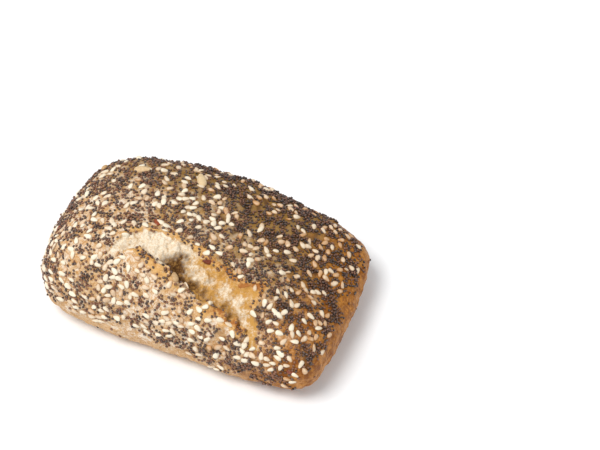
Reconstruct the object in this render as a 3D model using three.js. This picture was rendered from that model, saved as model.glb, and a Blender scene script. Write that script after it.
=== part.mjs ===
// A bread roll baked as one piece, in millimetres, with +Z up.
//
// Its shape is a rounded block, set on a hot stone: full round corners in plan, a domed top that is highest
// towards its left end, walls that bulge between the corners, and a flat base where it touched the stone.
// Along the front half of the top the crust burst open in the oven. The crumb shows in that split, and the
// crust in front of it stands up as a lip.
//
// X runs along the roll, and Y from its front to its back. The origin is under the middle, on the base.

import * as THREE from 'three';
import { mergeVertices } from 'three/addons/utils/BufferGeometryUtils.js';

// Driving dimensions of the block.
const HALF_LENGTH = 53;
const HALF_WIDTH = 31.7;
const HEIGHT = 37;
const WIDEST_HEIGHT = 13;
const UNDERSIDE_DEPTH = 17;

// How square the roll is: 2 is an ellipse, and larger numbers fill out its corners.
const LEFT_SQUARENESS = 6.5;
const RIGHT_SQUARENESS = 13;
const SIDE_SQUARENESS = 2.5;

// Bulges of the four walls between their corners, as shares of the half length or the half width.
const BACK_BULGE = 0.27;
const FRONT_BULGE = 0.07;
const LEFT_BULGE = 0.08;
const RIGHT_BULGE = 0.05;

// How the hand-shaped block is out of true.
const WIDER_TO_RIGHT = 0.02;
const LONGER_TO_BACK = 0.016;
const LOWER_TO_RIGHT = 0.303;
const LOWER_TO_BACK = 0.2;
const SHEAR = 0.025;
const LEAN_TO_BACK = 0.14;

// The burst split: the line along its middle, seen from above, and its section.
const SPLIT_MIDDLE = [[-29, -21], [-22, -12.5], [-10, -10.5], [6, -14.5], [20, -18.5], [31, -28]];
const SPLIT_STEPS = 240;
const SPLIT_HALF_WIDTH = 6.6;
const SPLIT_DEPTH = 4;
const TROUGH_SOFTNESS = 1.4;
const TROUGH_SKEW = 0.5;
const SPLIT_END_ROUNDNESS = 0.6;
const LIP_RISE = 1.6;
const LIP_WIDTH = 6;

// Grid over the block. The lines crowd together in the middle, where the split is.
const LINES_ALONG = 42;
const LINES_ACROSS = 30;
const LINES_UP = 8;
const CROWDING = 0.3;

const CRUST = { color: 0xd9b27c, roughness: 0.75, metalness: 0 };

const crowd = (value) => value * (1 - CROWDING) + CROWDING * value ** 3;

/** Pulls a point of the block's grid, each coordinate from -1 to 1, in to the roll's unsplit skin. */
function skinPoint(grid) {
  const underside = UNDERSIDE_DEPTH / (HEIGHT - WIDEST_HEIGHT);
  const reach = grid.z > 0 ? 1 : underside;
  const planSquareness = grid.x > 0 ? RIGHT_SQUARENESS : LEFT_SQUARENESS;
  const plan = Math.abs(grid.x) ** planSquareness + Math.abs(grid.y) ** planSquareness;
  const side = Math.abs(grid.z / reach) ** SIDE_SQUARENESS;
  const size = (plan ** (SIDE_SQUARENESS / planSquareness) + side) ** (1 / SIDE_SQUARENESS);
  const { x, y, z } = grid.clone().divideScalar(size);

  const tilt = z > 0 ? 1 - LOWER_TO_RIGHT * x - LOWER_TO_BACK * y : 1;
  const height = Math.max(0, WIDEST_HEIGHT + z * (HEIGHT - WIDEST_HEIGHT) * tilt);
  const endBulge = (x > 0 ? RIGHT_BULGE : LEFT_BULGE) * (1 - y * y);
  const sideBulge = (y > 0 ? BACK_BULGE : FRONT_BULGE) * (1 - x * x);
  const along = HALF_LENGTH * x * (1 + endBulge + LONGER_TO_BACK * y);
  const across = HALF_WIDTH * y * (1 + WIDER_TO_RIGHT * x + sideBulge);
  return new THREE.Vector3(
    along,
    across + SHEAR * along + LEAN_TO_BACK * height * (1 - x * x),
    height,
  );
}

const splitMiddle = new THREE.SplineCurve(SPLIT_MIDDLE.map(([x, y]) => new THREE.Vector2(x, y)));
const splitPoints = splitMiddle.getSpacedPoints(SPLIT_STEPS);

/** Where a point lies by the split: its share of the way along, and its distance behind the middle line. */
function placeBySplit(point) {
  const here = new THREE.Vector2(point.x, point.y);
  let nearest = 0;
  splitPoints.forEach((candidate, index) => {
    if (candidate.distanceTo(here) < splitPoints[nearest].distanceTo(here)) nearest = index;
  });
  const share = nearest / (splitPoints.length - 1);
  const tangent = splitMiddle.getTangentAt(share);
  const offset = here.sub(splitPoints[nearest]);
  const behind = Math.sign(tangent.cross(offset)) * offset.length();
  return { share, behind };
}

/** How much the split raises or lowers the skin at a point: down in its trough, up at its front lip. */
function splitHeight(point) {
  const { share, behind } = placeBySplit(point);
  const open = Math.sin(Math.PI * share) ** SPLIT_END_ROUNDNESS;
  if (point.z < WIDEST_HEIGHT || !(open > 0)) return 0;
  const across = behind / (SPLIT_HALF_WIDTH * open);
  const trough = Math.abs(across) < 1 ? (1 - across ** 2) ** TROUGH_SOFTNESS * (1 - TROUGH_SKEW * across) : 0;
  const lip = Math.exp(-(((behind + SPLIT_HALF_WIDTH * open) / LIP_WIDTH) ** 2));
  const lipFade = across > -1 ? Math.max(0, -across) ** 2 : 1;
  return open * (LIP_RISE * lip * lipFade - SPLIT_DEPTH * trough);
}

/** The whole roll as one closed mesh, standing on its base with its box centred on the origin. */
function rollGeometry() {
  const block = new THREE.BoxGeometry(2, 2, 2, LINES_ALONG, LINES_ACROSS, LINES_UP);
  block.deleteAttribute('normal');
  block.deleteAttribute('uv');
  const geometry = mergeVertices(block);
  const positions = geometry.getAttribute('position');
  const grid = new THREE.Vector3();
  for (let index = 0; index < positions.count; index += 1) {
    grid.fromBufferAttribute(positions, index);
    grid.x = crowd(grid.x);
    grid.y = crowd(grid.y);
    const point = skinPoint(grid);
    positions.setXYZ(index, point.x, point.y, point.z + splitHeight(point));
  }
  geometry.computeBoundingBox();
  const centre = geometry.boundingBox.getCenter(new THREE.Vector3());
  geometry.translate(-centre.x, -centre.y, 0);
  geometry.computeVertexNormals();
  return geometry;
}

const roll = new THREE.Mesh(rollGeometry(), new THREE.MeshStandardMaterial(CRUST));
roll.name = 'bread_roll';

const breadRoll = new THREE.Group();
breadRoll.add(roll);

export default breadRoll;
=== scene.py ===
"""A seeded bread roll, burst open along its top, on a pale floor.

The sections follow the roll as a baker makes it: the dough baked to crust and crumb, the large seeds, the
sesame and the poppy seeds, and then the floor, the light and the camera. Lengths are in millimetres until
a piece's mesh is made, which is in metres.
"""

import bpy
import numpy as np
from mathutils import Matrix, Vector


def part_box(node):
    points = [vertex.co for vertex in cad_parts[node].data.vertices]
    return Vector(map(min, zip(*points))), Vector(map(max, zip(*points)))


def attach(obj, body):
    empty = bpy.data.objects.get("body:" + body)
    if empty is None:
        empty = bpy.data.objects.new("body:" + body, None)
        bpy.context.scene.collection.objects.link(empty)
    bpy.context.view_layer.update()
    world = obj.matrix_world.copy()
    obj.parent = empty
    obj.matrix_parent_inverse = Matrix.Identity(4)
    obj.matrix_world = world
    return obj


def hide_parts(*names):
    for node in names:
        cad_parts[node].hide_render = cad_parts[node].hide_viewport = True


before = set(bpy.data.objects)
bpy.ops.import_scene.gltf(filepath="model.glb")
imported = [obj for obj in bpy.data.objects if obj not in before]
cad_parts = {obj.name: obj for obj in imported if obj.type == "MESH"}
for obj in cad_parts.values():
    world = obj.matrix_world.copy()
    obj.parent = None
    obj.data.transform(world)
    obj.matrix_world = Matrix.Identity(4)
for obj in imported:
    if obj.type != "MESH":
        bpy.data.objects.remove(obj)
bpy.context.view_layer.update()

# ----------------------------------------------------------------------------------------------------
# The roll. One piece of wheat dough, shaped by hand to a rounded block and baked on a hot stone, which
# left its base flat. The crust is thin and matt. It burst along the front half of its top, where the pale
# crumb shows, and the crust in front of the burst stands up as a lip over a dark hollow.

MILLIMETRE = 0.001

HALF_LENGTH = 53
HALF_WIDTH = 31.7
HEIGHT = 37
WIDEST_HEIGHT = 13
UNDERSIDE_DEPTH = 17
LEFT_SQUARENESS = 6.5
RIGHT_SQUARENESS = 13
SIDE_SQUARENESS = 2.5
BACK_BULGE = 0.27
FRONT_BULGE = 0.07
LEFT_BULGE = 0.08
RIGHT_BULGE = 0.05
WIDER_TO_RIGHT = 0.02
LONGER_TO_BACK = 0.016
LOWER_TO_RIGHT = 0.303
LOWER_TO_BACK = 0.2
SHEAR = 0.025
LEAN_TO_BACK = 0.14

LINES_ALONG = 380
LINES_ACROSS = 232
RELIEF_SINK = 0.35  # of the crust's swells and blisters, so that they rise to the smooth skin
TOP_SHARE = 0.66  # of the grid's lines, the rest run down the walls
WALL_FOOT = np.radians(-37)  # where the walls' grid turns under onto the base
SPLIT_CROWDING = 1.1  # how much closer the lines run past the split


def skin(across_grid):
    """The unsplit skin: points of a box, pulled in until the sum of powers of their coordinates is 1."""
    x, y, z = np.moveaxis(across_grid, -1, 0)
    reach = np.where(z > 0, 1, UNDERSIDE_DEPTH / (HEIGHT - WIDEST_HEIGHT))
    plan_squareness = np.where(x > 0, RIGHT_SQUARENESS, LEFT_SQUARENESS)
    plan = np.abs(x) ** plan_squareness + np.abs(y) ** plan_squareness
    side = np.abs(z / reach) ** SIDE_SQUARENESS
    size = (plan ** (SIDE_SQUARENESS / plan_squareness) + side) ** (1 / SIDE_SQUARENESS)
    x, y, z = x / size, y / size, z / size
    tilt = np.where(z > 0, 1 - LOWER_TO_RIGHT * x - LOWER_TO_BACK * y, 1)
    up = np.maximum(WIDEST_HEIGHT + z * (HEIGHT - WIDEST_HEIGHT) * tilt, 0)
    end_bulge = np.where(x > 0, RIGHT_BULGE, LEFT_BULGE) * (1 - y * y)
    side_bulge = np.where(y > 0, BACK_BULGE, FRONT_BULGE) * (1 - x * x)
    along = HALF_LENGTH * x * (1 + end_bulge + LONGER_TO_BACK * y)
    across = HALF_WIDTH * y * (1 + WIDER_TO_RIGHT * x + side_bulge)
    return np.stack([along, across + SHEAR * along + LEAN_TO_BACK * up * (1 - x * x), up], axis=-1)


def crowded_lines(count, centre, width):
    """Numbers from -1 to 1 that run closer together round a centre: equal steps of a summed density."""
    place = np.linspace(-1, 1, 2001)
    density = 1 + SPLIT_CROWDING * np.exp(-(((place - centre) / width) ** 2))
    total = np.cumsum(density)
    return np.interp(np.linspace(total[0], total[-1], count), total, place)


def box_grid():
    """One square grid over the top of a box, folded down its walls at equal angles from its heart."""
    a, b = np.meshgrid(
        crowded_lines(LINES_ALONG, 0, 0.45),
        crowded_lines(LINES_ACROSS, -0.28, 0.24),
        indexing="ij",
    )
    ring = np.maximum(np.abs(a), np.abs(b))
    flat = np.maximum(ring, TOP_SHARE)
    down = (flat - TOP_SHARE) / (1 - TOP_SHARE)
    quarter = np.pi / 4
    x = np.tan(quarter * a / flat)
    y = np.tan(quarter * b / flat)
    z = np.tan(quarter + (WALL_FOOT - quarter) * down)
    return np.stack([x, y, z], axis=-1)


def waves(points, length, seed, count=24):
    """Smooth noise of spread 1: sine waves of about one length, in random directions, added up."""
    draw = np.random.default_rng(seed)
    ways = draw.normal(size=(count, 3))
    ways /= np.linalg.norm(ways, axis=1)[:, None]
    turns = 2 * np.pi / (length * draw.uniform(0.7, 1.4, count))
    starts = draw.uniform(0, 2 * np.pi, count)
    return np.sin(points @ (ways * turns[:, None]).T + starts).sum(axis=-1) * np.sqrt(2 / count)


def curve_through(stations, values, at):
    """A smooth curve through values at stations: cubics that share the slope of each value's neighbours."""
    stations = np.asarray(stations, float)
    values = np.asarray(values, float)
    slopes = np.gradient(values, stations, axis=0)
    at = np.clip(at, stations[0], stations[-1])
    left = np.clip(np.searchsorted(stations, at, side="right") - 1, 0, len(stations) - 2)
    step = stations[left + 1] - stations[left]
    t = (at - stations[left]) / step
    if values.ndim > 1:
        step, t = step[..., None], t[..., None]
    start = (1 + 2 * t) * (1 - t) ** 2 * values[left] + t * (1 - t) ** 2 * step * slopes[left]
    end = t**2 * (3 - 2 * t) * values[left + 1] - t**2 * (1 - t) * step * slopes[left + 1]
    return start + end


def ease(value, low, high):
    """0 below low and 1 above high, with a smooth step between them."""
    t = np.clip((value - low) / (high - low), 0, 1)
    return t * t * (3 - 2 * t)


# The split seen from above: points on its middle line, and then pairs of a share of its length and how deep
# it is there, or how toasted its front lip and its back edge are.
SPLIT_MIDDLE = [(-29, -21), (-22, -12.5), (-10, -10.5), (6, -14.5), (20, -18.5), (31, -28)]
DEPTH = [(0, 0), (0.1, 0.35), (0.25, 0.4), (0.36, 0.6), (0.42, 1.4), (0.48, 0.9), (0.6, 0.7), (0.76, 0.6),
         (0.9, 0.5), (1, 0)]
LIP_TOAST = [(0, 0.4), (0.35, 0.7), (0.46, 0.5), (0.6, 0.25), (0.76, 1.2), (0.92, 1.2), (1, 0.4)]
BACK_TOAST = [(0, 0.5), (0.3, 0.6), (0.55, 0.8), (0.66, 1.2), (0.8, 1.1), (0.9, 0.4), (1, 0.3)]

# The split's section, from the front lip at -1 to the back edge at 1: how far the skin rises there, and how
# far it shifts back. The lip leans back over the hollow, and the wall below it lies under the lip.
SECTION = [-3, -1.8, -1.2, -1, -0.93, -0.85, -0.7, -0.45, 0, 0.5, 0.85, 1, 1.5]
SECTION_RISE = [0, 0.7, 1.5, 1.1, -0.5, -2.4, -4.1, -3.4, -2.4, -1.5, -0.8, 0.2, 0]
SECTION_SHIFT = [0, 0.2, 0.9, 1.5, 1, -0.4, -1.1, -0.4, 0, 0, 0, 0, 0]

# How far the split's back edge and its front lip stand from the middle line halfway along, and the short tear
# in the back edge, whose place and width are shares of the split's length.
BACK_HALF_WIDTH = 5.5
FRONT_HALF_WIDTH = 8.5
EDGE_ROUNDNESS = 0.7
TEAR_SHARE = 0.8
TEAR_WIDTH = 0.03
TEAR_REACH = 4.5
NARROWEST = 0.3  # half width that the ends close to
RIDGE_RISE = 0.7  # of the fold of crumb along the middle of the split's right half

middle = curve_through(range(len(SPLIT_MIDDLE)), SPLIT_MIDDLE, np.linspace(0, len(SPLIT_MIDDLE) - 1, 500))
middle_steps = np.linalg.norm(np.diff(middle, axis=0), axis=1)
middle_share = np.concatenate([[0], np.cumsum(middle_steps)]) / middle_steps.sum()
middle_way = np.gradient(middle, axis=0)
middle_way /= np.linalg.norm(middle_way, axis=1)[:, None]
middle_back = np.stack([-middle_way[:, 1], middle_way[:, 0]], axis=-1)


def along_list(pairs, share):
    """The smooth value at a share of the split's length of a list of (share, value) pairs."""
    stations, values = np.transpose(pairs)
    return curve_through(stations, values, share)


def edge_distance(share, behind):
    """How far the split's edge stands from its middle line: a power of a sine, with the tear at the back."""
    opening = np.sin(np.pi * np.clip(share, 0, 1)) ** EDGE_ROUNDNESS
    tear = TEAR_REACH * np.exp(-(((share - TEAR_SHARE) / TEAR_WIDTH) ** 2))
    return np.where(behind > 0, BACK_HALF_WIDTH * opening + tear, FRONT_HALF_WIDTH * opening)


def by_split(points):
    """Each point's share along the split, its distance behind and past the middle line, and the way back."""
    nearest = np.empty(len(points), int)
    for part in np.array_split(np.arange(len(points)), 40):
        apart = points[part, None, :2] - middle[None]
        nearest[part] = (apart**2).sum(axis=-1).argmin(axis=-1)
    offset = points[:, :2] - middle[nearest]
    behind = (offset * middle_back[nearest]).sum(axis=-1)
    past_tip = np.abs((offset * middle_way[nearest]).sum(axis=-1))
    return middle_share[nearest], behind, past_tip, middle_back[nearest]


def open_split(points, normals):
    """Presses the split into the skin. Gives the points, then how far each is crumb, pale, toasted, and
    painted dark as shade in the hollow.
    """
    share, behind, past_tip, back = by_split(points)
    behind = behind + 0.45 * waves(points, 5, 11) + 0.3 * waves(points, 2.2, 12)
    section = behind / np.maximum(edge_distance(share, behind), NARROWEST)
    near = (points[:, 2] > WIDEST_HEIGHT) * (1 - ease(past_tip, 0.5, 3))
    opened = near * ease(np.minimum(share, 1 - share), 0, 0.12)
    rise = curve_through(SECTION, SECTION_RISE, section) * opened
    rise = np.where(rise < 0, rise * np.maximum(along_list(DEPTH, share), 0), rise)
    shift = curve_through(SECTION, SECTION_SHIFT, section) * opened

    inside = ease(section, -0.95, -0.88) * (1 - ease(section, 0.88, 1)) * near
    strands = points * [1, 0.7, 1]
    torn = 0.2 * waves(strands, 3.2, 13) + 0.14 * waves(points, 1.5, 14) - 0.3 * np.abs(waves(strands, 4, 15))
    right_half = ease(share, 0.42, 0.55)
    ridge = np.exp(-(((section + 0.05) / 0.38) ** 2))
    rise = rise + inside * opened * (torn + RIDGE_RISE * ridge * right_half)
    moved = points + normals * rise[:, None]
    moved[:, :2] += back * shift[:, None]

    toasted = np.exp(-(((section + 1.1) / 0.25) ** 2)) * along_list(LIP_TOAST, share)
    toasted += np.exp(-(((section - 1.2) / 0.4) ** 2)) * along_list(BACK_TOAST, share)
    # How dark the hollow under the lip is painted: browner crumb, and painted shade where the lip hides it.
    deep = ease(-rise, 1.5, 3.6) * inside
    pale = np.maximum(0.68 * ridge, 1 - right_half) * inside
    return moved, inside, pale, np.clip(toasted * opened, 0, 1), deep


def grid_normals(points):
    """Unit normals of a grid of points: the cross product of its two directions."""
    normals = np.cross(np.gradient(points, axis=0), np.gradient(points, axis=1))
    return normals / np.maximum(np.linalg.norm(normals, axis=-1, keepdims=True), 1e-9)


def roll_surface():
    """The whole skin as a grid of points, from the top to the base's rim, with its crust relief and split."""
    smooth = skin(box_grid())
    shape = smooth.shape[:2]
    normals = grid_normals(smooth).reshape(-1, 3)
    points = smooth.reshape(-1, 3)
    clear_of_base = ease(points[:, 2], 0.5, 5)
    relief = 0.22 * waves(points, 30, 1) + 0.17 * waves(points, 11, 2) - RELIEF_SINK
    relief += 0.12 * waves(points, 4, 3) + 0.07 * waves(points, 2, 4)
    points = points + normals * (relief * clear_of_base)[:, None]
    points, crumb, pale, toasted, deep = open_split(points, normals)
    points[:, 2] = np.maximum(points[:, 2], 0)
    return points.reshape(*shape, 3), crumb, pale, toasted, deep


def ring_of(grid):
    """The indices round the edge of a grid of indices, in order."""
    return np.concatenate([grid[0, :-1], grid[:-1, -1], grid[-1, :0:-1], grid[:0:-1, 0]])


def grid_quads(index):
    """The four corners of each cell of a grid of indices, so that the face looks up."""
    corners = [index[:-1, :-1], index[1:, :-1], index[1:, 1:], index[:-1, 1:]]
    return np.stack(corners, axis=-1).reshape(-1, 4)


def add_mesh(name, points, faces, bake_map=None, **amounts):
    """A smooth mesh object from points in millimetres, with a number at each point for each amount."""
    mesh = bpy.data.meshes.new(name)
    mesh.from_pydata(points * MILLIMETRE, [], faces)
    mesh.polygons.foreach_set("use_smooth", np.ones(len(mesh.polygons), bool))
    for amount, values in amounts.items():
        mesh.attributes.new(amount, "FLOAT", "POINT").data.foreach_set("value", values.astype(np.float32))
    if bake_map is not None:
        mesh.uv_layers.new(name="OFBake").data.foreach_set("uv", bake_map.astype(np.float32).ravel())
    piece = bpy.data.objects.new(name, mesh)
    bpy.context.collection.objects.link(piece)
    return piece


surface, crumb, pale, toasted, deep = roll_surface()
low, high = (np.array(corner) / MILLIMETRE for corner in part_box("bread_roll"))
to_frame = (low + high) / 2 - (surface.min(axis=(0, 1)) + surface.max(axis=(0, 1))) / 2
to_frame[2] = 0
surface += to_frame

lines = np.arange(LINES_ALONG * LINES_ACROSS).reshape(LINES_ALONG, LINES_ACROSS)
rim = ring_of(lines)
base_middle = lines.size
quads = grid_quads(lines)
base_fan = np.stack([rim, np.roll(rim, -1), np.full_like(rim, base_middle)], axis=-1)
roll_points = np.concatenate([surface.reshape(-1, 3), [[0, 0, 0]]])

# The map that the baked finish is drawn through: the grid itself, with the base beside it.
MAP_GAP = 0.01
GRID_MAP_HEIGHT = 0.7
map_along, map_across = np.meshgrid(
    np.linspace(MAP_GAP, 1 - MAP_GAP, LINES_ALONG),
    np.linspace(MAP_GAP, GRID_MAP_HEIGHT, LINES_ACROSS),
    indexing="ij",
)
grid_map = np.stack([map_along.ravel(), map_across.ravel()], axis=-1)
base_scale = (1 - GRID_MAP_HEIGHT - 3 * MAP_GAP) / np.ptp(surface[..., 1])
base_map = roll_points[:, :2] * base_scale + [0.5, (1 + GRID_MAP_HEIGHT) / 2]
roll_map = np.concatenate([grid_map[quads.ravel()], base_map[base_fan.ravel()]])

edged = [np.append(amount, 0) for amount in (crumb, pale, toasted, deep)]
roll = add_mesh(
    "roll_crust_and_crumb",
    roll_points,
    quads.tolist() + base_fan.tolist(),
    roll_map,
    crumb=edged[0],
    pale=edged[1],
    toasted=edged[2],
    deep=edged[3],
)


class Wire:
    """A value on its way through a material's nodes. Arithmetic on it adds Math nodes."""

    def __init__(self, tree, socket):
        self.tree = tree
        self.socket = socket

    def node(self, kind, settings, inputs, output=0):
        """Adds a node of a kind, with its settings and then its sockets' values or links."""
        made = self.tree.nodes.new(kind)
        for name, value in settings.items():
            setattr(made, name, value)
        for name, value in inputs.items():
            if isinstance(value, Wire):
                self.tree.links.new(value.socket, made.inputs[name])
            else:
                made.inputs[name].default_value = value
        return Wire(self.tree, made.outputs[output])

    def maths(self, operation, *values):
        return self.node("ShaderNodeMath", {"operation": operation}, dict(enumerate(values)))

    def __add__(self, other):
        return self.maths("ADD", self, other)

    def __sub__(self, other):
        return self.maths("SUBTRACT", self, other)

    def __rsub__(self, other):
        return self.maths("SUBTRACT", other, self)

    def __mul__(self, other):
        return self.maths("MULTIPLY", self, other)

    __radd__ = __add__
    __rmul__ = __mul__

    def size(self):
        """The value without its sign."""
        return self.maths("ABSOLUTE", self)

    def step(self, low, high):
        """0 below low and 1 above high, with a smooth step between them."""
        ends = {"Value": self, "From Min": low, "From Max": high}
        return self.node("ShaderNodeMapRange", {"interpolation_type": "SMOOTHSTEP"}, ends)

    def blend(self, start, end):
        """The colour that goes from start to end as this value goes from 0 to 1."""
        return self.node("ShaderNodeMix", {"data_type": "RGBA"}, {0: self, 6: start, 7: end}, output=2)

    def noise(self, size, detail=2.0, roughness=0.5):
        """Noise from 0 to 1 at this place, with lumps of a size in millimetres."""
        sockets = {"Vector": self, "Scale": 1 / (size * MILLIMETRE), "Detail": detail, "Roughness": roughness}
        return self.node("ShaderNodeTexNoise", {}, sockets)


def new_material(name):
    """A new material, its shader node, and the place on the piece as a value to work from."""
    material = bpy.data.materials.new(name)
    material.use_nodes = True
    tree = material.node_tree
    shader = tree.nodes["Principled BSDF"]
    start = Wire(tree, None)
    place = start.node("ShaderNodeTexCoord", {}, {}, output="Object")
    return material, shader, place


def amount(place, name):
    """The number that a piece's mesh holds under a name."""
    return place.node("ShaderNodeAttribute", {"attribute_name": name}, {}, output="Fac")


def feed(shader, **wires):
    """Links wires to the shader's sockets of the same names."""
    for name, wire in wires.items():
        wire.tree.links.new(wire.socket, shader.inputs[name.replace("_", " ")])


def bump(height, distance, normal=None):
    """A bump of a height from 0 to 1, over a distance in millimetres."""
    sockets = {"Height": height, "Distance": distance * MILLIMETRE, "Strength": 1.0}
    if normal is not None:
        sockets["Normal"] = normal
    return height.node("ShaderNodeBump", {}, sockets)


def from_hex(text):
    """The shader's linear colour for a colour written as six hex digits."""
    parts = np.array([int(text[i : i + 2], 16) for i in (0, 2, 4)]) / 255
    linear = np.where(parts <= 0.04045, parts / 12.92, ((parts + 0.055) / 1.055) ** 2.4)
    return (*linear, 1.0)


CREAM_CRUST = from_hex("f1dfc8")
GOLD_CRUST = from_hex("dab180")
CREASE_CRUST = from_hex("c48c4c")
# Olive crust at the back right: partly its colour, partly painted shade where less light falls.
OLIVE_AND_SHADED_CRUST = from_hex("8a621c")
BROWN_CRUST = from_hex("c47c1c")
ROASTED_CRUST = from_hex("8a4c06")
# Crust under the seed patches: partly a stain, partly painted shade between the seeds.
SEED_STAIN_AND_SHADE_CRUST = from_hex("5f3b18")
GOLDEN_EDGE = from_hex("dfac66")
TOASTED_EDGE = from_hex("b06c2e")
PALE_CRUMB = from_hex("f3e4cb")
YELLOW_CRUMB = from_hex("cc984c")
# The hollow under the lip: browner crumb with painted shade.
HOLLOW_SHADE_CRUMB = from_hex("5a3712")
BLOTCH_SIZE = 22
MOTTLE_SIZE = 4.5
CREASE_SIZE = 3
FLECK_SIZE = 1.4
PORE_SIZE = 0.8
PORE_RELIEF = 0.4
FLECK_RELIEF = 0.55
CRUST_ROUGHNESS = 0.55
CRUMB_ROUGHER = 0.3
CRUST_SPECULAR = 0.35


def crust_material():
    """Matt crust, cream to gold and more golden down the walls, olive on top at the back right, mottled brown
    at the right end, and darker under the seeds. The olive is partly the crust's colour and partly painted
    shade where less light falls at the back right, and the darkening under the seeds is partly a stain and
    partly painted shade between them. The split's edges are golden to toasted, and its crumb is pale,
    yellower in its lumps, painted darker in the dents of its pores as shade, and brown in the hollow, where
    the crumb is browner and painted shade darkens it more. The sizes of its noise are in millimetres."""
    material, shader, place = new_material("crust")
    right = place.node("ShaderNodeSeparateXYZ", {}, {"Vector": place}, output="X")
    back = place.node("ShaderNodeSeparateXYZ", {}, {"Vector": place}, output="Y")
    height = place.node("ShaderNodeSeparateXYZ", {}, {"Vector": place}, output="Z")
    broad = place.noise(BLOTCH_SIZE, 3)
    medium = place.noise(MOTTLE_SIZE, 3)
    fine = place.noise(FLECK_SIZE, 4, 0.7)
    low_wall = (1 - height * 70).step(0.0, 0.8)
    gold = (broad * 0.4 + medium * 0.8 + fine * 1.4 + low_wall * 0.3).step(1.08, 1.45)
    crust = gold.blend(CREAM_CRUST, GOLD_CRUST)
    creases = 1 - (place.noise(CREASE_SIZE, 4, 0.7) - 0.5).size() * 16
    crust = (creases * (0.3 + fine)).step(0.1, 0.9).blend(crust, CREASE_CRUST)
    # Olive on top at the back right: partly the crust's colour, partly painted shade where less light falls
    # there.
    olive_and_back_shade = (right * 7 + back * 16 + medium * 0.6 + broad * 0.5).step(0.1, 0.9)
    crust = (olive_and_back_shade * (height * 60).step(0.6, 1.3) * 0.9).blend(crust, OLIVE_AND_SHADED_CRUST)
    brown = (right * 24 - back * 3 - height * 6 + medium * 0.8 + broad * 0.6).step(1.0, 1.9)
    roasted = (fine * 1.2 + medium * 0.9).step(0.85, 1.25).blend(BROWN_CRUST, ROASTED_CRUST)
    crust = (brown * (0.55 + medium * 0.45 + fine * 0.3)).blend(crust, roasted)
    # Darker under the seed patches: partly a stain, partly painted shade between the seeds.
    seed_stain_and_shade_here = amount(place, "seed_stain_and_shade") * (0.35 + medium * 0.7)
    crust = seed_stain_and_shade_here.blend(crust, SEED_STAIN_AND_SHADE_CRUST)
    toast = amount(place, "toasted") * (fine * 2.2 + medium * 1.2 - 0.7)
    crust = toast.step(0.05, 0.7).blend(crust, GOLDEN_EDGE)
    crust = toast.step(0.55, 1.1).blend(crust, TOASTED_EDGE)
    yellow = (fine * 1.7 + medium * 0.9 - amount(place, "pale") * 0.6).step(0.65, 1.3)
    inside = yellow.blend(PALE_CRUMB, YELLOW_CRUMB)
    # Painted shade, over browner crumb, in the hollow under the lip.
    inside = amount(place, "deep").blend(inside, HOLLOW_SHADE_CRUMB)
    crumb_here = amount(place, "crumb")
    colour = crumb_here.blend(crust, inside)
    pores = place.noise(PORE_SIZE, 4, 0.65)
    # The crumb is painted darker yellow in the dents of its pores: painted shade in them.
    colour = (crumb_here * pores.step(0.55, 0.38) * 0.4).blend(colour, YELLOW_CRUMB)
    normal = bump(pores, PORE_RELIEF, bump(fine, FLECK_RELIEF))
    roughness = CRUST_ROUGHNESS + crumb_here * CRUMB_ROUGHER
    feed(shader, Base_Color=colour, Normal=normal, Roughness=roughness)
    shader.inputs["Specular IOR Level"].default_value = CRUST_SPECULAR
    return material


roll.data.materials.append(crust_material())
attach(roll, "root")
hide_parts("bread_roll")

# ----------------------------------------------------------------------------------------------------
# The large seeds. A few hulled sunflower kernels and linseeds were worked into the seed mix. They lie flat,
# about a quarter sunk in the crust, a long way from each other.

KERNEL_SIZE = (6.2, 3.2, 2)
KERNEL_COUNT = 4
KERNEL_LIFT = 0.45  # of a seed's middle off the skin
KERNEL_COLOURS = ("e2c69a", "ad7d44")
LINSEED_SIZE = (3.6, 2, 0.9)
LINSEED_COUNT = 5
LINSEED_LIFT = 0.2
LINSEED_COLOURS = ("5a2110", "a24c22")
LARGE_SEED_TAPER = -0.3
LARGE_SEED_SPACING = 16
LARGE_SEED_TRIES = 8  # for each one kept

SEED_FOOT = 12  # the height on the wall at which the seeds begin
HIGHER_AT_RIGHT = 7
LOWER_AT_FRONT = 6
FOOT_RAGGEDNESS = 1.5
FOOT_FADE = 4


def seed_shape(size, rings, columns, taper=0.0, dent=0.0):
    """A closed seed of ellipse sections: round with the sine of the way along, narrower to one end by a
    taper, and bent like a kidney by a dent. Gives its points, its faces and their places on a map."""
    turn = np.pi * np.arange(1, rings + 1)[:, None] / (rings + 1)
    around = 2 * np.pi * np.arange(columns)[None, :] / columns
    radius = np.sin(turn) ** 0.85 * (1 + taper * np.cos(turn))
    x = -np.cos(turn) + 0 * around
    y = radius * np.cos(around) + dent * (np.cos(np.pi * x / 2) - 0.5)
    z = radius * np.sin(around)
    ends = [[-1, -0.5 * dent, 0], [1, -0.5 * dent, 0]]
    points = np.concatenate([np.stack([x, y, z], axis=-1).reshape(-1, 3), ends]) * np.array(size) / 2

    index = np.arange(rings * columns).reshape(rings, columns)
    after = np.roll(index, -1, axis=1)
    quads = np.stack([index[:-1], index[1:], after[1:], after[:-1]], axis=-1).reshape(-1, 4)
    first, last = index.size, index.size + 1
    low_fan = np.stack([index[0], after[0], np.full(columns, first)], axis=-1)
    high_fan = np.stack([after[-1], index[-1], np.full(columns, last)], axis=-1)

    u = np.arange(columns + 1) / columns
    v = np.arange(1, rings + 1) / (rings + 1)
    u, v = np.meshgrid(u, v)
    spot = np.stack([u, v], axis=-1)
    quad_map = np.stack([spot[:-1, :-1], spot[1:, :-1], spot[1:, 1:], spot[:-1, 1:]], axis=2).reshape(-1, 2)
    low_end = spot[0, :-1] + [0.5 / columns, 0]
    low_end[:, 1] = 0
    high_end = low_end + [0, 1]
    low_map = np.stack([spot[0, :-1], spot[0, 1:], low_end], axis=1).reshape(-1, 2)
    high_map = np.stack([spot[-1, 1:], spot[-1, :-1], high_end], axis=1).reshape(-1, 2)
    return points, [quads, low_fan, high_fan], [quad_map, low_map, high_map]


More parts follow.
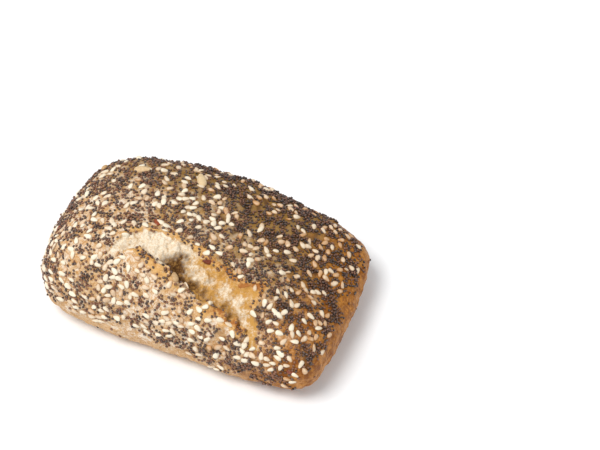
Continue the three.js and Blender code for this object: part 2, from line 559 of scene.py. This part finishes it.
def plant(name, shape, places, frames, sizes, **amounts):
    """One mesh of many seeds: the shape turned by each frame, sized, and set at each place. Its painted top
    light runs from -1 underneath each seed to 1 on top, so that each seed's colour is painted lighter on top
    and darker below, as light and shade would fall."""
    points, faces, maps = shape
    turned = np.einsum("nij,pj->npi", frames, points) * sizes[:, None, None] + places[:, None]
    shift = np.arange(len(places))[:, None, None] * len(points)
    all_faces = [row for part in faces for row in (part + shift).reshape(-1, part.shape[1]).tolist()]
    tiles = int(np.ceil(np.sqrt(len(places))))
    tile = np.stack([np.arange(len(places)) % tiles, np.arange(len(places)) // tiles], axis=-1)
    bake_map = [((tile[:, None] + 0.12 + 0.76 * part) / tiles).reshape(-1, 2) for part in maps]
    spread = {key: np.repeat(values, len(points)) for key, values in amounts.items()}
    # Each point's height in its seed, from which the seed's top is painted lighter and its underside darker.
    spread["painted_top_light"] = np.tile(points[:, 2] / points[:, 2].max(), len(places))
    return add_mesh(name, turned.reshape(-1, 3), all_faces, np.concatenate(bake_map), **spread)


skin_normals = grid_normals(surface)
cell_corners = [surface[:-1, :-1], surface[1:, :-1], surface[1:, 1:], surface[:-1, 1:]]
cell_normals = [skin_normals[:-1, :-1], skin_normals[1:, :-1], skin_normals[1:, 1:], skin_normals[:-1, 1:]]
diagonals = cell_corners[2] - cell_corners[0], cell_corners[3] - cell_corners[1]
cell_area = (np.linalg.norm(np.cross(*diagonals), axis=-1) / 2).ravel()
cell_middle = (sum(cell_corners) / 4).reshape(-1, 3)
cell_crumb = crumb.reshape(lines.shape)[:-1, :-1].ravel()
cell_toasted = toasted.reshape(lines.shape)[:-1, :-1].ravel()


def on_skin(cells, draw):
    """Random places in cells of the skin, with the skin's normals there."""
    u, v = draw.random((2, len(cells), 1))
    shares = [(1 - u) * (1 - v), u * (1 - v), u * v, (1 - u) * v]
    places = sum(share * part.reshape(-1, 3)[cells] for share, part in zip(shares, cell_corners))
    normals = sum(share * part.reshape(-1, 3)[cells] for share, part in zip(shares, cell_normals))
    return places, normals / np.linalg.norm(normals, axis=1)[:, None]


def frames_on(normals, turn, tilt=0.0, roll_over=0.0):
    """Frames with X along the skin at a turn, tilted and rolled by angles, and Z near the normal."""
    flat = np.stack([np.cos(turn), np.sin(turn), 0 * turn], axis=-1)
    length = flat - normals * (flat * normals).sum(axis=1)[:, None]
    length /= np.linalg.norm(length, axis=1)[:, None]
    side = np.cross(normals, length)
    tilt = np.broadcast_to(tilt, turn.shape)[:, None]
    roll_over = np.broadcast_to(roll_over, turn.shape)[:, None]
    x = length * np.cos(tilt) + normals * np.sin(tilt)
    z = normals * np.cos(tilt) - length * np.sin(tilt)
    y = side * np.cos(roll_over) + z * np.sin(roll_over)
    z = z * np.cos(roll_over) - side * np.sin(roll_over)
    return np.stack([x, y, z], axis=-1)


def thin_out(points, spacing):
    """The indices of the points that lie no nearer than the spacing to a point kept before them."""
    kept = []
    taken = {}
    cells = np.floor(points / spacing).astype(int)
    for index, (a, b, c) in enumerate(cells.tolist()):
        near = [
            other
            for i in (a - 1, a, a + 1)
            for j in (b - 1, b, b + 1)
            for k in (c - 1, c, c + 1)
            for other in taken.get((i, j, k), ())
        ]
        if near and (((points[near] - points[index]) ** 2).sum(axis=1) < spacing**2).any():
            continue
        taken.setdefault((a, b, c), []).append(index)
        kept.append(index)
    return np.array(kept)


def seeded_area(points):
    """How far the seeds reach: over the top and down to the widest line, or lower along the front, and less
    far down at the right end and the back right."""
    right_end = ease(points[:, 0], 46, 52)
    back_right = ease(points[:, 1], 22, 30) * ease(points[:, 0], 5, 30)
    front = ease(-points[:, 1], 15, 25) * (1 - right_end)
    foot = SEED_FOOT + HIGHER_AT_RIGHT * np.maximum(right_end, back_right)
    foot -= front * ease(points[:, 0], -20, 35) * LOWER_AT_FRONT
    foot += FOOT_RAGGEDNESS * waves(points, 9, 30)
    return ease(points[:, 2], foot, foot + FOOT_FADE)


def scatter(tries, chance, spacing, seed):
    """Seeds dropped on the skin one after another, more where the chance is high, none on another."""
    draw = np.random.default_rng(seed)
    weight = cell_area * chance
    cells = draw.choice(len(weight), tries, p=weight / weight.sum())
    places, normals = on_skin(cells, draw)
    kept = thin_out(places, spacing)
    return places[kept], normals[kept], draw


bare_crust = seeded_area(cell_middle) * (1 - cell_crumb)


def large_seeds(count, lift, seed):
    """Places and frames for a few seeds, far apart on the crust and turned every way."""
    places, normals, draw = scatter(LARGE_SEED_TRIES * count, bare_crust, LARGE_SEED_SPACING, seed)
    places, normals = places[:count], normals[:count]
    return places + normals * lift, frames_on(normals, draw.uniform(0, 2 * np.pi, count))


kernel_places, kernel_frames = large_seeds(KERNEL_COUNT, KERNEL_LIFT, 20)
kernels = plant(
    "sunflower_kernels",
    seed_shape(KERNEL_SIZE, 11, 14, taper=LARGE_SEED_TAPER),
    kernel_places,
    kernel_frames,
    np.array([1, 1.1, 0.8, 0.9]),
    tone=np.array([0.4, 0.2, 0.7, 0.6]),
)
linseed_places, linseed_frames = large_seeds(LINSEED_COUNT, LINSEED_LIFT, 21)
linseeds = plant(
    "linseeds",
    seed_shape(LINSEED_SIZE, 9, 12, taper=LARGE_SEED_TAPER),
    linseed_places,
    linseed_frames,
    np.array([0.75, 1, 0.9, 1, 0.95]),
    tone=np.array([0.8, 0.2, 0.5, 0.3, 0.6]),
)


def seed_material(name, colours, top_light_share, roughness, grain, relief):
    """A seed's skin: two colours by its tone, a share of its painted top light, which paints the top lighter
    and the rim darker as light and shade would fall, and a grain in millimetres, in low relief."""
    material, shader, place = new_material(name)
    mottle = place.noise(grain, 2)
    # Painted light on each seed's top and painted shade round its rim.
    painted_top_light = amount(place, "painted_top_light").step(0.2, 1.1)
    blend = (amount(place, "tone") * 0.7 + mottle * 0.6 + painted_top_light * top_light_share).step(0.15, 1.15)
    feed(shader, Base_Color=blend.blend(*map(from_hex, colours)), Normal=bump(mottle, relief))
    shader.inputs["Roughness"].default_value = roughness
    return material


kernels.data.materials.append(seed_material("kernel_flesh", KERNEL_COLOURS, -0.1, 0.6, 0.9, 0.15))
linseeds.data.materials.append(seed_material("linseed_hull", LINSEED_COLOURS, 0.1, 0.3, 0.6, 0.03))
for seeds, seed_slot in ((kernels, "sunflower_kernel"), (linseeds, "linseed")):
    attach(seeds, "root")

# ----------------------------------------------------------------------------------------------------
# The sesame. Hulled white sesame, flat teardrops that lie every way round, most of them loose and a few
# thick together. Some toasted to gold in the oven.

SESAME_SIZE = (3.1, 1.92, 0.95)
SESAME_TRIES = 900
SESAME_SPACING = 2.0
SESAME_LIFT = 0.28
SESAME_TAPER = -0.32
SESAME_TILT = 0.14
SESAME_ROLL = 0.2
SESAME_SIZES = (0.82, 1.08)
SESAME_COLOURS = ("f0e3c9", "bb7f3a")
FEWEST_SESAME = 0.08

leftward = ease(-cell_middle[:, 0], -30, 50)
rearward = ease(cell_middle[:, 1], 0, 35)
sesame_chance = 0.4 + 0.2 * leftward - 0.1 * rearward + 0.3 * waves(cell_middle, 14, 31)
sesame_chance = np.clip(sesame_chance, FEWEST_SESAME, 1)
back_left = ease(-cell_middle[:, 0], 12, 35) * ease(cell_middle[:, 1], -18, 0)
sesame_chance *= 1 - 0.6 * back_left
sesame_chance *= bare_crust * (1 - cell_toasted)
sesame_places, sesame_normals, draw = scatter(SESAME_TRIES, sesame_chance, SESAME_SPACING, 32)
sesame_count = len(sesame_places)
sesame_frames = frames_on(
    sesame_normals,
    draw.uniform(0, 2 * np.pi, sesame_count),
    draw.normal(0, SESAME_TILT, sesame_count),
    draw.normal(0, SESAME_ROLL, sesame_count),
)
# Most are pale, and more are golden towards the back right: partly toasted, partly painted shade where
# less light falls there.
sesame_tone = draw.beta(1, 2.2, sesame_count)
sesame_tone += 0.45 * ease(sesame_places[:, 0] + 1.2 * sesame_places[:, 1], -20, 60)
sesame = plant(
    "sesame_seeds",
    seed_shape(SESAME_SIZE, 7, 10, taper=SESAME_TAPER),
    sesame_places + sesame_normals * SESAME_LIFT,
    sesame_frames,
    draw.uniform(*SESAME_SIZES, sesame_count),
    tone=np.minimum(sesame_tone, 1),
)
sesame.data.materials.append(seed_material("sesame_hull", SESAME_COLOURS, -0.2, 0.4, 1.2, 0.04))
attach(sesame, "root")

# ----------------------------------------------------------------------------------------------------
# The poppy seeds. Tiny kidneys, dark slate to brown, that stick wherever the dough was wet: close
# together in dark patches, two deep in the thickest, and thin between them.

POPPY_SIZE = (1.08, 0.93, 0.84)
POPPY_SPACING = 0.83
POPPY_TRIES = 40000
POPPY_LIFT = 0.2
PATCH_TRIES = 110
PATCH_SPACING = 7
PATCH_RADII = (2.5, 5)
PILE_TRIES = 1800
PILE_HEIGHT = 0.65
LOST_TRIES = 90  # single seeds that rolled away, some of them into the crumb
POPPY_DENT = 0.3
POPPY_TILT = 0.3
POPPY_ROLL = 0.4
POPPY_SIZES = (0.85, 1.12)
FEWEST_POPPIES = 0.03
PATCH_THICKNESS = 0.9
BROWN_SHARE = 0.55
SLATE_COLOURS = ("140b08", "695348")
BROWN_COLOURS = ("28130b", "8c5f45")
SESAME_OUTLINE = 0.95  # the square of the share of a sesame seed that poppy seeds keep off
SESAME_ABOVE = 3  # half thicknesses over a sesame seed past which it isn't in the way


def clear_of_sesame(points):
    """Which points lie outside every sesame seed's outline, drawn in a little."""
    clear = np.ones(len(points), bool)
    for part in np.array_split(np.arange(len(points)), 60):
        offset = points[part, None] - sesame_places[None]
        local = np.einsum("pni,nij->pnj", offset, sesame_frames) / (np.array(SESAME_SIZE) / 2)
        beside = (local[..., :2] ** 2).sum(axis=-1) > SESAME_OUTLINE
        above = np.abs(local[..., 2]) > SESAME_ABOVE
        clear[part] = beside.all(axis=1) | above.all(axis=1)
    return clear


backward = ease(cell_middle[:, 0] + 1.5 * cell_middle[:, 1], -40, 60)
patch_places, _, draw = scatter(PATCH_TRIES, bare_crust * (0.3 + backward), PATCH_SPACING, 45)
patch_radii = draw.uniform(*PATCH_RADII, len(patch_places))


def poppy_patches(points):
    """How thick the poppy seeds lie: waves of two lengths, and round patches that fade outwards."""
    thick = 0.15 * waves(points, 13, 40) + 0.5 * waves(points, 4, 41)
    for place, radius in zip(patch_places, patch_radii):
        thick += PATCH_THICKNESS * np.exp(-((np.linalg.norm(points - place, axis=1) / radius) ** 2))
    return thick


# The crust is darker under the thick patches, most of all at the back right: partly a stain from the
# seeds' baking, and partly painted shade, between the seeds and where less light falls at the back right.
seed_stain_and_shade = seeded_area(roll_points) * ease(poppy_patches(roll_points), 0.2, 1)
seed_stain_and_shade *= 0.3 + 0.7 * ease(roll_points[:, 0] + 1.5 * roll_points[:, 1], -40, 40)
roll.data.attributes.new("seed_stain_and_shade", "FLOAT", "POINT").data.foreach_set("value", seed_stain_and_shade.astype(np.float32))
patches = poppy_patches(cell_middle)
poppy_chance = np.clip(0.04 + 0.22 * backward + (0.5 + 0.2 * backward) * patches, FEWEST_POPPIES, 1)
poppy_chance = bare_crust * poppy_chance * (1 - 0.45 * cell_toasted)
layers = []
for tries, chance, height, seed in (
    (POPPY_TRIES, poppy_chance, POPPY_LIFT, 42),
    (PILE_TRIES, poppy_chance**5, PILE_HEIGHT, 43),
    (LOST_TRIES, (1 - cell_crumb) * (cell_middle[:, 2] > 4) + cell_crumb * 0.2, POPPY_LIFT, 44),
):
    places, normals, draw = scatter(tries, chance, POPPY_SPACING, seed)
    clear = clear_of_sesame(places)
    layers.append((places[clear] + normals[clear] * height, normals[clear]))
poppy_places, poppy_normals = (np.concatenate(parts) for parts in zip(*layers))
poppy_count = len(poppy_places)
poppy_frames = frames_on(
    poppy_normals,
    draw.uniform(0, 2 * np.pi, poppy_count),
    draw.normal(0, POPPY_TILT, poppy_count),
    draw.normal(0, POPPY_ROLL, poppy_count),
)
poppy_sizes = draw.uniform(*POPPY_SIZES, poppy_count)
poppy_tone = draw.uniform(0, 1, poppy_count)
# The poppy seeds are painted darker towards the back right: painted shade where less light falls there.
poppy_tone *= 1 - 0.75 * ease(poppy_places[:, 0] + 1.5 * poppy_places[:, 1], -20, 50)
brown_ones = draw.random(poppy_count) < BROWN_SHARE

for name, chosen, colours in (
    ("poppy_seeds_slate", ~brown_ones, SLATE_COLOURS),
    ("poppy_seeds_brown", brown_ones, BROWN_COLOURS),
):
    poppies = plant(
        name,
        seed_shape(POPPY_SIZE, 3, 6, dent=POPPY_DENT),
        poppy_places[chosen],
        poppy_frames[chosen],
        poppy_sizes[chosen],
        tone=poppy_tone[chosen],
    )
    poppies.data.materials.append(seed_material(name + "_hull", colours, 0.5, 0.35, 0.5, 0.05))
    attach(poppies, "root")

# ----------------------------------------------------------------------------------------------------
# The floor, the light and the camera. A pale floor, a large soft lamp high at the front left and a dim one at
# the right under a pale sky, and a camera that looks down on the roll's front from a little to the right.

FLOOR_HALF = 3.0
FLOOR_COLOUR = (0.93, 0.93, 0.93, 1.0)
FLOOR_ROUGHNESS = 0.9
WORLD_COLOUR = (0.93, 0.965, 1.0, 1.0)
WORLD_STRENGTH = 0.55
KEY_PLACE = (-0.55, -0.6, 1.7)
KEY_SIZE = 0.9
KEY_POWER = 28
FILL_PLACE = (0.9, -0.2, 0.8)
FILL_SIZE = 0.8
FILL_POWER = 2
CAMERA_TURN = np.radians(23)
CAMERA_RISE = np.radians(54)
CAMERA_DISTANCE = 0.65
CAMERA_LENS = 106.9
AIM_HEIGHT = 15
AIM_SLOPE = (-0.0533, -0.0273)  # how far right of and above the lens's axis the roll is seen

corners = np.array([[-1, -1, 0], [1, -1, 0], [1, 1, 0], [-1, 1, 0]]) * FLOOR_HALF / MILLIMETRE
floor = add_mesh("floor", corners, [[0, 1, 2, 3]])
floor_material, floor_shader, _ = new_material("floor")
floor_shader.inputs["Base Color"].default_value = FLOOR_COLOUR
floor_shader.inputs["Roughness"].default_value = FLOOR_ROUGHNESS
floor.data.materials.append(floor_material)

world = bpy.data.worlds.new("studio")
world.use_nodes = True
world.node_tree.nodes["Background"].inputs["Color"].default_value = WORLD_COLOUR
world.node_tree.nodes["Background"].inputs["Strength"].default_value = WORLD_STRENGTH
bpy.context.scene.world = world
bpy.context.scene.view_settings.view_transform = "Standard"


def pointing(back, up):
    """The turn of an object whose +Z points back and whose +Y is as near up as it can be."""
    back = back / np.linalg.norm(back)
    right = np.cross(up, back)
    right /= np.linalg.norm(right)
    return np.stack([right, np.cross(back, right), back], axis=1)


def put(thing, place, turn):
    """Stands an object at a place, in metres, with a turn given as three columns."""
    matrix = np.eye(4)
    matrix[:3, :3] = turn
    matrix[:3, 3] = place
    thing.matrix_world = Matrix(matrix)


def soft_light(name, place, size, power):
    """A square lamp at a place in metres, turned to the roll."""
    lamp = bpy.data.lights.new(name, "AREA")
    lamp.shape = "SQUARE"
    lamp.size = size
    lamp.energy = power
    light = bpy.data.objects.new(name, lamp)
    bpy.context.collection.objects.link(light)
    put(light, place, pointing(np.array(place), np.array([0.0, 0.1, 1.0])))


soft_light("key_light", KEY_PLACE, KEY_SIZE, KEY_POWER)
soft_light("fill_light", FILL_PLACE, FILL_SIZE, FILL_POWER)

toward_camera = np.array([
    np.sin(CAMERA_TURN) * np.cos(CAMERA_RISE),
    -np.cos(CAMERA_TURN) * np.cos(CAMERA_RISE),
    np.sin(CAMERA_RISE),
])
aim = (to_frame + [0, 0, AIM_HEIGHT]) * MILLIMETRE
facing = pointing(toward_camera, np.array([0.0, 0.0, 1.0]))
sight = facing @ pointing(-np.array([*AIM_SLOPE, -1.0]), np.array([0.0, 1.0, 0.0])).T
camera = bpy.data.objects.new("camera", bpy.data.cameras.new("camera"))
camera.data.lens = CAMERA_LENS
bpy.context.collection.objects.link(camera)
put(camera, aim + toward_camera * CAMERA_DISTANCE, sight)
bpy.context.scene.camera = camera
